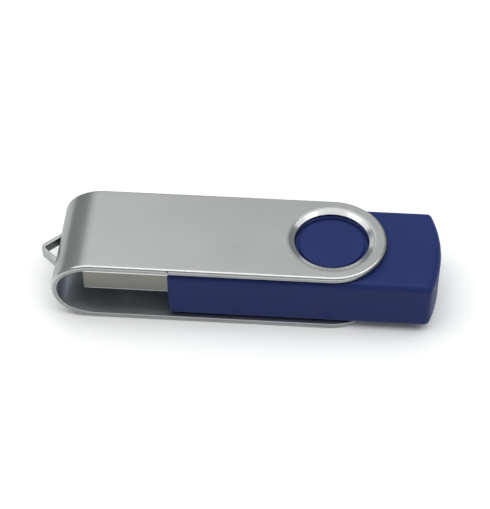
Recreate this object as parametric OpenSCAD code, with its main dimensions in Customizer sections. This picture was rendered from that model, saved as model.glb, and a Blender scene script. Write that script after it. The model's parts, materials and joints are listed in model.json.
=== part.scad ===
// Swivel USB flash drive: a blue plastic case of two half shells round a USB-A stick,
// with a U-bent steel clip that turns about the case's two round bosses.
// The drive lies flat. X runs along it with the plug towards -X, Z is up, and the
// origin is under the middle of the whole drive, on the surface that it lies on.

/* [Clip] */
// Width of the steel clip
clip_w = 17.5; // [17.2:0.1:18.2]
// Height of the clip over both arms
clip_h = 11.6; // [11.4:0.1:12]
// Thickness of the clip's sheet
sheet_t = 0.95; // [0.8:0.05:1]
// Distance from the pivot to the outside of the bend
clip_reach = 44.3; // [43:0.1:48]
// Outer radius of the bend's two wide shoulders
shoulder_r = 8.4; // [8:0.1:13]
// Rounding of the clip's outer edges
clip_edge_r = 0.3; // [0.1:0.05:0.4]
// Radius of the pivot hole in each arm
hole_r = 5.97; // [5.5:0.01:6]
// Radius at which the pressed rim begins on the arm's inner face
dimple_r = 7; // [6.8:0.1:7.4]
// How far the pressed rim stands out of the arm's inner face
dimple_depth = 0.75; // [0.65:0.05:0.8]

/* [Lanyard loop] */
// How far the loop stands out of the bend
loop_out = 2.7; // [2.5:0.1:3.5]
// Distance from the middle of the clip to each root of the loop
loop_root = 3.2; // [2.5:0.1:3.5]
// Height of the strip that the loop is cut from
loop_h = 1.7; // [1.5:0.1:2.2]
// Thickness of the loop's strip
loop_t = 0.65; // [0.6:0.05:0.9]
// Height of the window in the bend that the strip leaves behind
window_h = 3.4; // [2.4:0.1:3.6]

/* [Case] */
// Width of the plastic case
body_w = 17.2; // [16.6:0.1:17.3]
// Thickness of the plastic case
body_h = 9.1; // [8.9:0.1:9.1]
// Distance from the pivot to the plug end of the case
body_front = 25.6; // [25:0.1:27]
// Distance from the pivot to the middle of the rounded end
body_back = 17.5; // [17.2:0.1:19]
// How far the rounded end bulges
end_bulge = 1.6; // [1.5:0.1:2.5]
// Rounding of the case's long edges
body_edge_r = 1.2; // [0.8:0.1:1.4]
// Thickness of the case's walls
wall = 1.2; // [1:0.1:1.2]
// Radius of the raised disc in the middle of each boss
disc_r = 5.25; // [4.8:0.05:5.3]
// Depth of the disc below the clip's outer face
disc_sink = 0.95; // [0.9:0.05:1.15]

/* [Plug] */
// Width of the plug's shell
plug_w = 12; // [11.9:0.1:12.1]
// Height of the plug's shell
plug_h = 4.5; // [4.4:0.1:4.6]
// Length of plug that stands out of the case
plug_out = 13.9; // [12.5:0.1:14]
// Thickness of the plug's sheet
plug_t = 0.3; // [0.25:0.05:0.35]

/* [Circuit board] */
// Length of the board
board_l = 33.9; // [33:0.1:34]
// Width of the board
board_w = 13.6; // [13:0.1:14]
// Thickness of the board
board_t = 1; // [0.8:0.1:1]

/* [Hidden] */
$fn = 96;
eps = 0.01;
over = 1;
fine_fn = 32;

// Levels and places. Every module below is drawn with the pivot's axis on X = 0.
z_mid = clip_h / 2;
pivot_x = (clip_reach + loop_out - body_back) / 2;
body_top = z_mid + body_h / 2;
gap = 0.05;

// The bend: two shoulders of 30 degrees, with a tighter nose between them.
turn = 30;
nose_r = (z_mid - shoulder_r * (1 - cos(turn))) / cos(turn);
nose_x = nose_r - clip_reach;
shoulder_x = nose_x + (shoulder_r - nose_r) * sin(turn);

// The pressed rim: from rim_r inwards the outer face dips in a wide curve, runs straight
// and ends in a small lip above the hole's wall.
rim_r = 7.4;
rim_turn = 16;
rim_outer_r = 2.3;
rim_lip_r = 0.15;
rim_foot = 0.6;
rim_overlap = 0.1;
rim_run = rim_r - rim_outer_r * sin(rim_turn) - hole_r - rim_lip_r * (1 - sin(rim_turn));
lip_z = sheet_t - rim_outer_r * (1 - cos(rim_turn)) - rim_run * tan(rim_turn)
    - rim_lip_r * cos(rim_turn);

// The loop
loop_tip_r = 1.2;
loop_root_r = 0.35;
loop_tip_x = loop_tip_r - clip_reach - loop_out;
loop_root_x = sheet_t / 2 - clip_reach;

// The case's outline
end_r = pow(body_w / 2, 2) / (2 * end_bulge) + end_bulge / 2;
front_corner_r = 0.6;
end_corner_r = 1;
least_corner_r = 0.15;
front_edge_r = 0.7;
edge_steps = 5;

// The boss and the groove round it, for the rim of the clip's hole
bearing_r = hole_r - gap;
bearing_top = body_top - 0.2;
groove_r = 7.4;
groove_floor = body_top - 0.65;
boss_root = 0.3;
disc_top = clip_h - disc_sink;
disc_chamfer = 0.15;

// Rib in each shell, behind the plug, that takes the push when it is plugged in
rib_t = 0.8;
rib_w = 8;
rib_z = 1.75;

// The lip along the lower shell's edge, and the pins at the case's corners
lip_t = 0.45;
lip_h = 0.5;
pin_r = 0.45;
pin_l = 1.2;
post_r = 0.95;
pins = [[-23.3, 7.1], [-23.3, -7.1], [13.7, 6.2], [13.7, -6.2]];

// The plug
plug_tip = -body_front - plug_out;
plug_in = 5.4;
plug_back = -body_front + plug_in;
plug_corner_r = 0.5;
window_l = 2;
window_w = 2.5;
window_from_tip = 5.2;
window_y = 2.4;
seam_w = 0.08;
tab_l = 2.6;
tab_h = 2.9;

// The block inside the plug
block_h = 1.95;
block_floor = z_mid - plug_h / 2 + plug_t;
block_top = block_floor + block_h;
block_setback = 1.6;
block_back = plug_back - block_setback;
block_recess = 0.35;
channel_depth = 0.2;
channel_w = 1.2;

// The plug's contacts, whose tails come down to the board
contact_w = 1;
contact_t = 0.25;
contact_y = [-3.5, -1, 1, 3.5];
power_start = 1.4;
data_start = 2.4;
tail_from = block_back + 0.15;
tail_bend = 0.6;
tail_l = 2.6;
tail_drop = 0.55;

// The board
board_gap = 0.2;
board_front = block_back + board_gap;
board_top = block_top - tail_drop;
board_bottom = board_top - board_t;
nose_w = 10.9;
nose_l = 1.9;
slot_play = 0.15;
pad_t = 0.05;
tab_top = board_top + 0.8;
on_board = board_top + pad_t;
under_board = board_bottom - pad_t;

// The controller, on the board's upper side
controller_x = -10.5;
controller_w = 7;
controller_h = 1.3;
controller_pins = 12;
controller_span = 9;

// The memory chip, on the board's lower side
flash_x = 1.6;
flash_l = 18.4;
flash_w = 12;
flash_h = 1;
flash_pins = 24;
flash_span = 20;

// Leads of both chips
lead_pitch = 0.5;
lead_w = 0.22;
lead_t = 0.13;
lead_foot = 0.5;
lead_heel = 0.1;
stand_off = 0.1;
pad_spare = [0.2, 0.06];

// The crystal, a can that lies across the board with its two pins towards -Y
crystal_x = -1;
crystal_r = 1.5;
crystal_l = 7.6;
crystal_y = 4.4;
crystal_pin_r = 0.2;
crystal_pin_y = 0.55;
crystal_pin_l = 1.5;
crystal_lip = 0.5;
crystal_rim = 0.3;
crystal_pad = [0.7, 1.2];

// Small components: place and direction of each, on the board's upper side
chip_l = 1.6;
chip_w = 0.8;
chip_h = 0.6;
chip_end = 0.3;
capacitors = [
    [-17.2, 4.2, 0], [-17.2, -4.2, 0],
    [-4.3, 4.6, 90], [-4.3, -4.6, 90],
    [3.2, 3, 90], [3.2, -3, 90]
];
resistors = [[-16.6, 1.5, 0], [-16.6, -1.5, 0], [5.4, 3, 90], [5.4, 0, 90]];

// Solder
solder_l = 1.8;
solder_foot = 0.45;
solder_crown = 0.12;
solder_h = 0.4;
contact_joint = tail_from + tail_l - 0.55;
tail_pad = [1.9, contact_w + 0.3];

// Supports for the board, in both shells
support_in = 6.3;
ledge_w = body_w / 2 - wall / 2 - support_in;
ledge_from = -14;
ledge_to = 11.5;
stop_l = 1.6;
stop_w = 0.7;
stops = [-13.8, 8.7];
roof = body_top - wall / 2;
floor_z = clip_h - roof;

// ---- helpers ----

function arc(centre, r, from, to, steps) =
    [for (i = [0:steps]) let (a = from + (to - from) * i / steps) centre + r * [cos(a), sin(a)]];

// The case seen from above, drawn in by inset all round and by front_inset at the plug end
function case_outline(inset, front_inset) =
    let (
        front_r = max(front_corner_r - inset, least_corner_r),
        back_r = max(end_corner_r - inset, least_corner_r),
        side = body_w / 2 - inset,
        bow_r = end_r - inset,
        bow_x = body_back - end_r,
        back_x = bow_x + sqrt(pow(bow_r - back_r, 2) - pow(side - back_r, 2)),
        bow_end = atan2(side - back_r, back_x - bow_x),
        front_x = front_inset + front_r - body_front
    )
    concat(
        arc([bow_x, 0], bow_r, -bow_end, bow_end, 16),
        arc([back_x, side - back_r], back_r, bow_end, 90, 4),
        arc([front_x, side - front_r], front_r, 90, 180, 4),
        arc([front_x, front_r - side], front_r, 180, 270, 4),
        arc([back_x, back_r - side], back_r, 270, 360 - bow_end, 4)
    );

module at_pivot() translate([pivot_x, 0, 0]) children();

// Turns what is made for the upper side over, to the lower side
module turned_over() translate([0, 0, clip_h]) mirror([0, 0, 1]) children();

// Sweeps a profile of Y and Z along X
module along_x(from, to) translate([from, 0, 0]) rotate([90, 0, 90]) linear_extrude(to - from) children();

// Extrudes a profile of X and Z across the width
module across(width) rotate([90, 0, 0]) linear_extrude(width, center = true) children();

// ---- clip ----

// Cross section of the sheet, with its outer face up and that face's edges rounded
module sheet_section() {
    side = clip_w / 2 - clip_edge_r;
    crown = sheet_t - clip_edge_r;
    polygon(concat(
        [[-clip_w / 2, 0], [clip_w / 2, 0]],
        arc([side, crown], clip_edge_r, 0, 90, 6),
        arc([-side, crown], clip_edge_r, 90, 180, 6)
    ));
}

// A bend of the sheet round an axis across the clip
module bend(x, z, r, from, to) {
    translate([x, 0, z])
        rotate([90, 0, 0])
        rotate_extrude(angle = to - from, start = from)
        translate([r - sheet_t, 0])
        rotate(-90)
        mirror([1, 0])
        sheet_section();
}

// Half of the arm's round end, from the middle outwards
module arm_end_section() {
    polygon(concat(
        [[0, 0], [clip_w / 2, 0]],
        arc([clip_w / 2 - clip_edge_r, sheet_t - clip_edge_r], clip_edge_r, 0, 90, 6),
        [[0, sheet_t]]
    ));
}

// The rim pressed inwards round the pivot hole
module rim_section() {
    polygon(concat(
        [[rim_r + rim_overlap, sheet_t]],
        arc([rim_r, sheet_t - rim_outer_r], rim_outer_r, 90, 90 + rim_turn, 5),
        arc([hole_r + rim_lip_r, lip_z], rim_lip_r, 90 + rim_turn, 180, 5),
        [[hole_r, -dimple_depth], [hole_r + rim_foot, -dimple_depth]],
        [[dimple_r, 0], [rim_r + rim_overlap, 0]]
    ));
}

// One arm, with its outer face up and its inner face on Z = 0
module arm() {
    difference() {
        union() {
            along_x(shoulder_x, 0) sheet_section();
            rotate_extrude(angle = 180, start = -90) arm_end_section();
        }
        translate([0, 0, -over]) cylinder(r = rim_r, h = sheet_t + 2 * over);
    }
    rotate_extrude() rim_section();
}

// A triangle with round corners, for the lanyard loop seen from above
module loop_outline(tip_r, root_r, root_x, root_y) {
    hull() {
        translate([loop_tip_x, 0]) circle(r = tip_r, $fn = fine_fn);
        translate([root_x, root_y]) circle(r = root_r, $fn = fine_fn);
        translate([root_x, -root_y]) circle(r = root_r, $fn = fine_fn);
    }
}

module lanyard_loop() {
    translate([0, 0, z_mid])
        linear_extrude(loop_h, center = true)
        difference() {
            loop_outline(loop_tip_r, loop_root_r, loop_root_x, loop_root);
            loop_outline(loop_tip_r - loop_t, eps, loop_root_x + sheet_t, loop_root - loop_t / 2);
        }
}

module swivel_clip() color("silver") at_pivot() {
    difference() {
        union() {
            translate([0, 0, clip_h - sheet_t]) arm();
            turned_over() translate([0, 0, clip_h - sheet_t]) arm();
            bend(shoulder_x, clip_h - shoulder_r, shoulder_r, 90, 90 + turn);
            bend(nose_x, z_mid, nose_r, 90 + turn, 270 - turn);
            bend(shoulder_x, shoulder_r, shoulder_r, 270 - turn, 270);
        }
        translate([-clip_reach, 0, z_mid])
            cube([3 * sheet_t, 2 * (loop_root - loop_root_r), window_h], center = true);
    }
    lanyard_loop();
}

// ---- case ----

// The upper half of the case without its boss: rings of points from the middle plane up,
// drawn in along a quarter circle near the top so that the edge is rounded
module case_half() {
    angles = [for (i = [0:edge_steps]) 90 * i / edge_steps];
    rings = concat(
        [[0, z_mid]],
        [for (a = angles) [body_edge_r * (1 - cos(a)), body_top - body_edge_r * (1 - sin(a))]]
    );
    points = [
        for (ring = rings, p = case_outline(ring[0], ring[0] * front_edge_r / body_edge_r))
            [p[0], p[1], ring[1]]
    ];
    n = len(case_outline(0, 0));
    last = (len(rings) - 1) * n;
    sides = [
        for (k = [0:len(rings) - 2], i = [0:n - 1])
            let (a = k * n + i, d = k * n + (i + 1) % n)
            each [[a, a + n, d + n], [a, d + n, d]]
    ];
    floor_face = [for (i = [0:n - 1]) i];
    roof_face = [for (i = [n - 1:-1:0]) last + i];
    polyhedron(points, concat(sides, [floor_face, roof_face]));
}

// Round recess in the upper face for the rim of the clip's hole
module rim_recess() {
    translate([0, 0, groove_floor]) cylinder(r = groove_r, h = body_top - groove_floor + over);
}

// The bearing that the rim turns on, and the disc on top of it, both rooted in the recess's floor
module boss() {
    root = groove_floor - boss_root;
    translate([0, 0, root]) cylinder(r = bearing_r, h = bearing_top - root);
    translate([0, 0, root]) cylinder(r = disc_r, h = disc_top - disc_chamfer - root);
    translate([0, 0, disc_top - disc_chamfer])
        cylinder(r1 = disc_r, r2 = disc_r - disc_chamfer, h = disc_chamfer);
}

module hollow() {
    translate([0, 0, z_mid - over])
        linear_extrude(body_h / 2 - wall + over)
        polygon(case_outline(wall, wall));
}

// The step that the lower shell's lip fits into, widened by play
module lip_ring(play) {
    translate([0, 0, z_mid - eps])
        linear_extrude(lip_h + play + eps)
        difference() {
            polygon(case_outline(wall - lip_t - play, wall - lip_t - play));
            polygon(case_outline(wall + eps, wall + eps));
        }
}

module plug_mouth() {
    translate([-body_front, 0, z_mid])
        cube([4 * wall, plug_w + 2 * gap, plug_h + 2 * gap], center = true);
}

// Half of the case with its boss, as the upper shell lies
module half_shell() {
    difference() {
        case_half();
        rim_recess();
        hollow();
        plug_mouth();
    }
    boss();
    translate([plug_back, -rib_w / 2, z_mid + rib_z])
        cube([rib_t, rib_w, roof - z_mid - rib_z]);
}

// Posts from the roof of the hollow down to a level, at the case's four corners
module corner_posts(to, r) {
    for (p = pins)
        translate([p[0], p[1], to]) cylinder(r = r, h = roof - to, $fn = fine_fn);
}

// A block near each long wall, from one X and Z to another, that holds the board's edge
module side_supports(from_x, to_x, from_z, to_z, width) {
    for (side = [0, 1])
        mirror([0, side, 0])
            translate([from_x, support_in, from_z])
            cube([to_x - from_x, width, to_z - from_z]);
}

module upper_shell() color("midnightblue") at_pivot() {
    difference() {
        union() {
            half_shell();
            corner_posts(z_mid + lip_h + gap, post_r);
        }
        lip_ring(gap);
    }
    for (p = pins)
        translate([p[0], p[1], z_mid - pin_l])
            cylinder(r = pin_r, h = pin_l + lip_h + 2 * gap, $fn = fine_fn);
    for (x = stops)
        side_supports(x, x + stop_l, board_top, roof, stop_w);
}

module lower_shell() color("midnightblue") at_pivot() {
    difference() {
        union() {
            turned_over() half_shell();
            turned_over() corner_posts(z_mid, post_r);
            difference() {
                lip_ring(0);
                plug_mouth();
            }
        }
        for (p = pins)
            translate([p[0], p[1], z_mid - pin_l - gap])
                cylinder(r = pin_r + gap, h = pin_l + lip_h + 3 * gap, $fn = fine_fn);
    }
    side_supports(ledge_from, ledge_to, floor_z, board_bottom, ledge_w);
}

// ---- plug ----

// Rounded rectangle of Y and Z for the plug's shell
module plug_outline(inset) {
    r = plug_corner_r - inset;
    side = plug_w / 2 - plug_corner_r;
    half = plug_h / 2 - plug_corner_r;
    translate([0, z_mid])
        polygon(concat(
            arc([side, half], r, 0, 90, 4),
            arc([-side, half], r, 90, 180, 4),
            arc([-side, -half], r, 180, 270, 4),
            arc([side, -half], r, 270, 360, 4)
        ));
}

module plug_shell() color("lightgray") at_pivot() {
    difference() {
        along_x(plug_tip, plug_back) plug_outline(0);
        along_x(plug_tip - over, plug_back + over) plug_outline(plug_t);
        for (side = [-1, 1])
            translate([plug_tip + window_from_tip + window_l / 2, side * window_y, z_mid])
                cube([window_l, window_w, plug_h + over], center = true);
        translate([plug_tip - over, -seam_w / 2, z_mid - plug_h / 2 - over])
            cube([plug_out + plug_in + 2 * over, seam_w, plug_t + over + eps]);
    }
    for (side = [-1, 1])
        translate([plug_back - eps, side * (plug_w - plug_t) / 2 - plug_t / 2, tab_top - tab_h])
            cube([tab_l + eps, plug_t, tab_h]);
}

module plug_block() color("white") at_pivot() {
    side = plug_w / 2 - plug_t - gap;
    cut = plug_corner_r - plug_t;
    difference() {
        along_x(plug_tip + block_recess, block_back)
            polygon([
                [cut - side, block_floor],
                [side - cut, block_floor],
                [side, block_floor + cut],
                [side, block_top],
                [-side, block_top],
                [-side, block_floor + cut]
            ]);
        for (y = contact_y)
            translate([plug_tip + data_start / 2, y - channel_w / 2, block_top - channel_depth])
                cube([plug_out + plug_in, channel_w, block_h]);
    }
}

// One contact strip, from its front end to the tail soldered to the board
module contact(index, start) {
    strip = block_top - channel_depth;
    color("gold") at_pivot()
        translate([0, contact_y[index], 0])
        across(contact_w)
        polygon([
            [plug_tip + start, strip],
            [tail_from, strip],
            [tail_from + tail_bend, on_board],
            [tail_from + tail_l, on_board],
            [tail_from + tail_l, on_board + contact_t],
            [tail_from + tail_bend, on_board + contact_t],
            [tail_from, strip + contact_t],
            [plug_tip + start, strip + contact_t]
        ]);
}

module contact_power() contact(0, power_start);
module contact_data_minus() contact(1, data_start);
module contact_data_plus() contact(2, data_start);
module contact_ground() contact(3, power_start);

// ---- board ----

module circuit_board() color("darkgreen") at_pivot() {
    translate([0, 0, board_bottom])
        linear_extrude(board_t)
        difference() {
            translate([board_front, -board_w / 2]) square([board_l, board_w]);
            for (side = [-1, 1]) {
                translate([board_front - over, side > 0 ? nose_w / 2 : -board_w])
                    square([nose_l + over, board_w - nose_w / 2]);
                translate([plug_back, side * (plug_w - plug_t) / 2 - plug_t / 2 - slot_play])
                    square([tab_l + slot_play, plug_t + 2 * slot_play]);
            }
        }
}

// A flat pad of a given length and width, centred on a place
module pad(x, y, size, z) translate([x - size[0] / 2, y - size[1] / 2, z]) cube([size[0], size[1], pad_t]);

// Calls its children once at each lead along one side of a chip
module lead_row(count) {
    for (i = [0:count - 1])
        translate([0, (i - (count - 1) / 2) * lead_pitch, 0]) children();
}

module board_pads() color("gold") at_pivot() {
    lead_pad = [lead_foot, lead_w] + pad_spare;
    end_pad = [chip_end + pad_spare[0], chip_w];
    for (y = contact_y)
        pad(contact_joint, y, tail_pad, board_top);
    for (turned = [0:90:270])
        translate([controller_x, 0, 0]) rotate(turned) lead_row(controller_pins)
            pad((controller_span - lead_foot) / 2, 0, lead_pad, board_top);
    for (turned = [0, 180])
        translate([flash_x, 0, 0]) rotate(turned) lead_row(flash_pins)
            pad((flash_span - lead_foot) / 2, 0, lead_pad, under_board);
    for (side = [-1, 1])
        pad(crystal_x + side * crystal_pin_y, crystal_y - crystal_l - crystal_pin_l, crystal_pad, board_top);
    each_at(concat(capacitors, resistors))
        for (side = [-1, 1])
            pad(side * (chip_l - chip_end) / 2, 0, end_pad, board_top);
}

// A fillet of solder along both sides of a lead of a given width
module solder_fillets(x, y, z, width) {
    foot = width / 2 + solder_foot;
    crown = width / 2 + solder_crown;
    translate([0, y, z])
        along_x(x - solder_l / 2, x + solder_l / 2)
        for (side = [0, 1])
            mirror([side, 0])
                polygon([[width / 2, 0], [foot, 0], [crown, solder_h], [width / 2, solder_h]]);
}

module contact_solder() color("silver") at_pivot() {
    for (y = contact_y)
        solder_fillets(contact_joint, y, on_board, contact_w);
}

module tab_solder() color("silver") at_pivot() {
    for (side = [-1, 1])
        solder_fillets(plug_back + tab_l / 2, side * (plug_w - plug_t) / 2, board_top, plug_t);
}

// ---- chips ----

// Side view of one bent lead that leaves the chip at half height and ends in a flat foot
module lead(body_half, span, height) {
    level = stand_off + height / 2;
    foot = span / 2 - lead_foot;
    across(lead_w)
        polygon([
            [body_half, level],
            [foot - lead_heel, level],
            [foot - lead_heel, lead_heel],
            [foot, 0],
            [span / 2, 0],
            [span / 2, lead_t],
            [foot - lead_heel + lead_t, lead_t],
            [foot - lead_heel + lead_t, level + lead_t],
            [body_half, level + lead_t]
        ]);
}

module controller_chip() color("black") at_pivot() {
    translate([controller_x - controller_w / 2, -controller_w / 2, on_board + stand_off])
        cube([controller_w, controller_w, controller_h]);
}

module controller_leads() color("silver") at_pivot() {
    translate([controller_x, 0, on_board])
        for (turned = [0:90:270])
            rotate(turned) lead_row(controller_pins) lead(controller_w / 2, controller_span, controller_h);
}

module flash_chip() color("black") at_pivot() {
    translate([flash_x - flash_l / 2, -flash_w / 2, under_board - stand_off - flash_h])
        cube([flash_l, flash_w, flash_h]);
}

module flash_leads() color("silver") at_pivot() {
    translate([flash_x, 0, under_board])
        mirror([0, 0, 1])
        for (turned = [0, 180])
            rotate(turned) lead_row(flash_pins) lead(flash_l / 2, flash_span, flash_h);
}

// ---- crystal ----

// Moves to the crystal's pin end, with Z along the can
module at_crystal() {
    translate([crystal_x, crystal_y - crystal_l, on_board + crystal_r]) rotate([-90, 0, 0]) children();
}

module crystal_can() color("lightgray") at_pivot() at_crystal() {
    translate([0, 0, crystal_lip]) cylinder(r = crystal_r - gap, h = crystal_l - crystal_lip);
    cylinder(r = crystal_r, h = crystal_lip);
}

module crystal_base() color("dimgray") at_pivot() at_crystal() {
    translate([0, 0, -crystal_lip]) cylinder(r = crystal_r - crystal_rim, h = crystal_lip);
}

module crystal_pins() color("silver") at_pivot() {
    end_y = crystal_y - crystal_l - crystal_lip;
    for (side = [-1, 1])
        translate([crystal_x + side * crystal_pin_y, 0, on_board]) {
            translate([0, end_y, crystal_r])
                rotate([90, 0, 0])
                cylinder(r = crystal_pin_r, h = crystal_pin_l - crystal_lip, $fn = fine_fn);
            translate([0, end_y + crystal_lip - crystal_pin_l, 0])
                cylinder(r = crystal_pin_r, h = crystal_r + crystal_pin_r, $fn = fine_fn);
        }
}

// ---- small components ----

module chip_body() {
    translate([0, 0, on_board + chip_h / 2])
        cube([chip_l - 2 * chip_end, chip_w, chip_h], center = true);
}

module chip_ends() {
    for (side = [-1, 1])
        translate([side * (chip_l - chip_end) / 2, 0, on_board + chip_h / 2])
            cube([chip_end, chip_w, chip_h], center = true);
}

module each_at(places) {
    for (p = places)
        translate([p[0], p[1], 0]) rotate(p[2]) children();
}

module capacitor_bodies() color("tan") at_pivot() each_at(capacitors) chip_body();
module capacitor_ends() color("silver") at_pivot() each_at(capacitors) chip_ends();
module resistor_bodies() color("black") at_pivot() each_at(resistors) chip_body();
module resistor_ends() color("silver") at_pivot() each_at(resistors) chip_ends();

swivel_clip();
upper_shell();
lower_shell();
plug_shell();
plug_block();
contact_power();
contact_data_minus();
contact_data_plus();
contact_ground();
circuit_board();
board_pads();
contact_solder();
tab_solder();
controller_chip();
controller_leads();
flash_chip();
flash_leads();
crystal_can();
crystal_base();
crystal_pins();
capacitor_bodies();
capacitor_ends();
resistor_bodies();
resistor_ends();
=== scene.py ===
"""A swivel USB flash drive: a satin steel clip round a navy blue case, on a pale studio floor."""

import json
import math
from collections import Counter
from contextlib import contextmanager
from itertools import product

import bmesh
import bpy
from mathutils import Matrix, Vector


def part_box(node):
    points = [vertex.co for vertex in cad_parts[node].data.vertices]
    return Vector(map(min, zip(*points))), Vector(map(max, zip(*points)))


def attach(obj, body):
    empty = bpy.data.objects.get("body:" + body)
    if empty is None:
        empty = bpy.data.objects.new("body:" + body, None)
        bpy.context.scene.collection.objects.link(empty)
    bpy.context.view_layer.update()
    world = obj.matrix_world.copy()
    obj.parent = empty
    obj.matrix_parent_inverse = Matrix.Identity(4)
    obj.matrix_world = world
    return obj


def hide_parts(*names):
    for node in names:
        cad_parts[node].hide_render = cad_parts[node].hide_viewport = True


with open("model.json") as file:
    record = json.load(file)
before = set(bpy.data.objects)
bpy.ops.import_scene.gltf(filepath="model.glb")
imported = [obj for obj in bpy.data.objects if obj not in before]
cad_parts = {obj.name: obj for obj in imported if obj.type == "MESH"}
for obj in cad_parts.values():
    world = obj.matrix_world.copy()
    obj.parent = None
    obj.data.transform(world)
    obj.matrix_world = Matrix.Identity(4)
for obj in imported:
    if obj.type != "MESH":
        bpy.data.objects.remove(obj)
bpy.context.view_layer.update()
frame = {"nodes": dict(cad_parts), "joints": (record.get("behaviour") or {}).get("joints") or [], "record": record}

MM = 0.001
MICRON = 0.000001

# ---- what the frame says, in millimetres ----

pivot = Vector(frame["joints"][0]["pos_m"]) / MM
clip_lo, clip_hi = (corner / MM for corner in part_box("swivel_clip"))
case_lo, case_hi = (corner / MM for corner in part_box("upper_shell"))
plug_lo, plug_hi = (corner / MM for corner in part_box("plug_shell"))
board_lo, board_hi = (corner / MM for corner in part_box("circuit_board"))

CLIP_HALF = clip_hi.y
CLIP_H = clip_hi.z
Z_MID = CLIP_H / 2
CASE_HALF = case_hi.y
DISC_TOP = case_hi.z

# Sizes that part.scad gives and the boxes don't
SHEET_T = 0.95
LOOP_OUT = 2.7
BEND_X = clip_lo.x + LOOP_OUT
SHOULDER_R = 8.4
TURN = 30
HOLE_R = 5.97
RIM_R = 7.4
DIMPLE_R = 7.0
DIMPLE_DEPTH = 0.75
CASE_H = 9.1
CASE_TOP = Z_MID + CASE_H / 2
CASE_EDGE_R = 1.2
FRONT_EDGE_R = 0.7
WALL = 1.2
LIP_T = 0.45
LIP_H = 0.5
PLAY = 0.05
BEARING_R = 5.92
GROOVE_R = 7.4
GROOVE_DEPTH = 0.65
LEDGE_DEPTH = 0.2
DISC_R = 5.25
PLUG_W = 12.0
PLUG_H = 4.5
PLUG_T = 0.3
PLUG_CORNER_R = 0.5
WINDOW_Y = (1.15, 3.65)
SEAM_Y = 0.04

# The bend: two wide shoulders with a tighter nose between them
NOSE_R = (Z_MID - SHOULDER_R * (1 - math.cos(math.radians(TURN)))) / math.cos(math.radians(TURN))
NOSE_X = BEND_X + NOSE_R
SHOULDER_X = NOSE_X + (SHOULDER_R - NOSE_R) * math.sin(math.radians(TURN))


# ---- lines and faces ----


def arc_and_normals(centre, radius, start, end, steps):
    """An arc from start to end in degrees, as (point, normal)."""
    angles = [math.radians(start + (end - start) * i / steps) for i in range(steps + 1)]
    normals = [(math.cos(a), math.sin(a)) for a in angles]
    return [((centre[0] + radius * c, centre[1] + radius * s), (c, s)) for c, s in normals]


def arc(centre, radius, start, end, steps):
    """Points on an arc, from start to end in degrees."""
    return [point for point, _ in arc_and_normals(centre, radius, start, end, steps)]


def stops(values, most):
    """Values with even steps of at most `most` put in between."""
    out = [values[0]]
    for a, b in zip(values, values[1:]):
        steps = max(1, math.ceil(abs(b - a) / most))
        out += [a + (b - a) * i / steps for i in range(1, steps + 1)]
    return out


def rounded_path(corners, radii, steps):
    """An open line through 2D corners, with each inner corner turned into an arc of its radius."""
    points = [Vector(corners[0])]
    for before, corner, after, radius in zip(corners, corners[1:], corners[2:], radii):
        corner = Vector(corner)
        to_before = (Vector(before) - corner).normalized()
        to_after = (Vector(after) - corner).normalized()
        half = to_before.angle(to_after) / 2
        reach = radius / math.tan(half)
        centre = corner + (to_before + to_after).normalized() * radius / math.sin(half)
        first = corner + to_before * reach - centre
        last = corner + to_after * reach - centre
        for i in range(steps + 1):
            points.append(centre + first.lerp(last, i / steps).normalized() * radius)
    points.append(Vector(corners[-1]))
    return points


def band(near, far, closed=False):
    """Four-sided faces between two rows of point numbers. A closed band also joins their ends."""
    if closed:
        near, far = near + near[:1], far + far[:1]
    return list(zip(near, near[1:], far[1:], far))


# ---- objects and what is done to them ----


@contextmanager
def editing(mesh):
    """The mesh as a bmesh, written back at the end."""
    bm = bmesh.new()
    bm.from_mesh(mesh)
    yield bm
    bm.to_mesh(mesh)
    bm.free()


def add_to_scene(name, data):
    """A new object for a mesh, a light or a camera."""
    obj = bpy.data.objects.new(name, data)
    bpy.context.scene.collection.objects.link(obj)
    return obj


def new_mesh(name, verts, faces):
    """A mesh from points in millimetres."""
    mesh = bpy.data.meshes.new(name)
    mesh.from_pydata([Vector(v) * MM for v in verts], [], faces)
    return mesh


def new_object(name, verts, faces):
    """A mesh object from points in millimetres, welded, with its faces turned outwards."""
    mesh = new_mesh(name, verts, faces)
    with editing(mesh) as bm:
        bmesh.ops.remove_doubles(bm, verts=bm.verts, dist=0.1 * MICRON)
        bmesh.ops.recalc_face_normals(bm, faces=bm.faces)
    return add_to_scene(name, mesh)


def box_object(name, corner, opposite):
    """A box between two corners."""
    corners = list(product(*(sorted(pair) for pair in zip(corner, opposite))))
    faces = [(0, 1, 3, 2), (4, 6, 7, 5), (0, 4, 5, 1), (2, 3, 7, 6), (0, 2, 6, 4), (1, 5, 7, 3)]
    return new_object(name, corners, faces)


def post_object(name, x, y, radius, low, high):
    """An upright post."""
    steps = 24
    ring = arc((x, y), radius, 0, 360, steps)[:-1]
    verts = [(px, py, z) for z in (low, high) for px, py in ring]
    bottom, top = list(range(steps)), list(range(steps, 2 * steps))
    return new_object(name, verts, band(bottom, top, closed=True) + [bottom, top])


def apply_modifiers(obj):
    """Turns the object's modifiers into its mesh."""
    depsgraph = bpy.context.evaluated_depsgraph_get()
    depsgraph.update()
    mesh = bpy.data.meshes.new_from_object(obj.evaluated_get(depsgraph))
    obj.modifiers.clear()
    obj.data = mesh


def round_edges(obj, segments, width=1.0, angle=None, material=0):
    """Rounds the edges sharper than an angle or, without one, each by its share of the width."""
    bevel = obj.modifiers.new("round", "BEVEL")
    bevel.width = width * MM
    bevel.segments = segments
    bevel.offset_type = "OFFSET"
    bevel.miter_outer = "MITER_ARC"
    bevel.material = material
    if angle is None:
        bevel.limit_method = "WEIGHT"
        bevel.use_clamp_overlap = False
    else:
        bevel.limit_method = "ANGLE"
        bevel.angle_limit = math.radians(angle)
        bevel.use_clamp_overlap = True
    apply_modifiers(obj)


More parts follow.
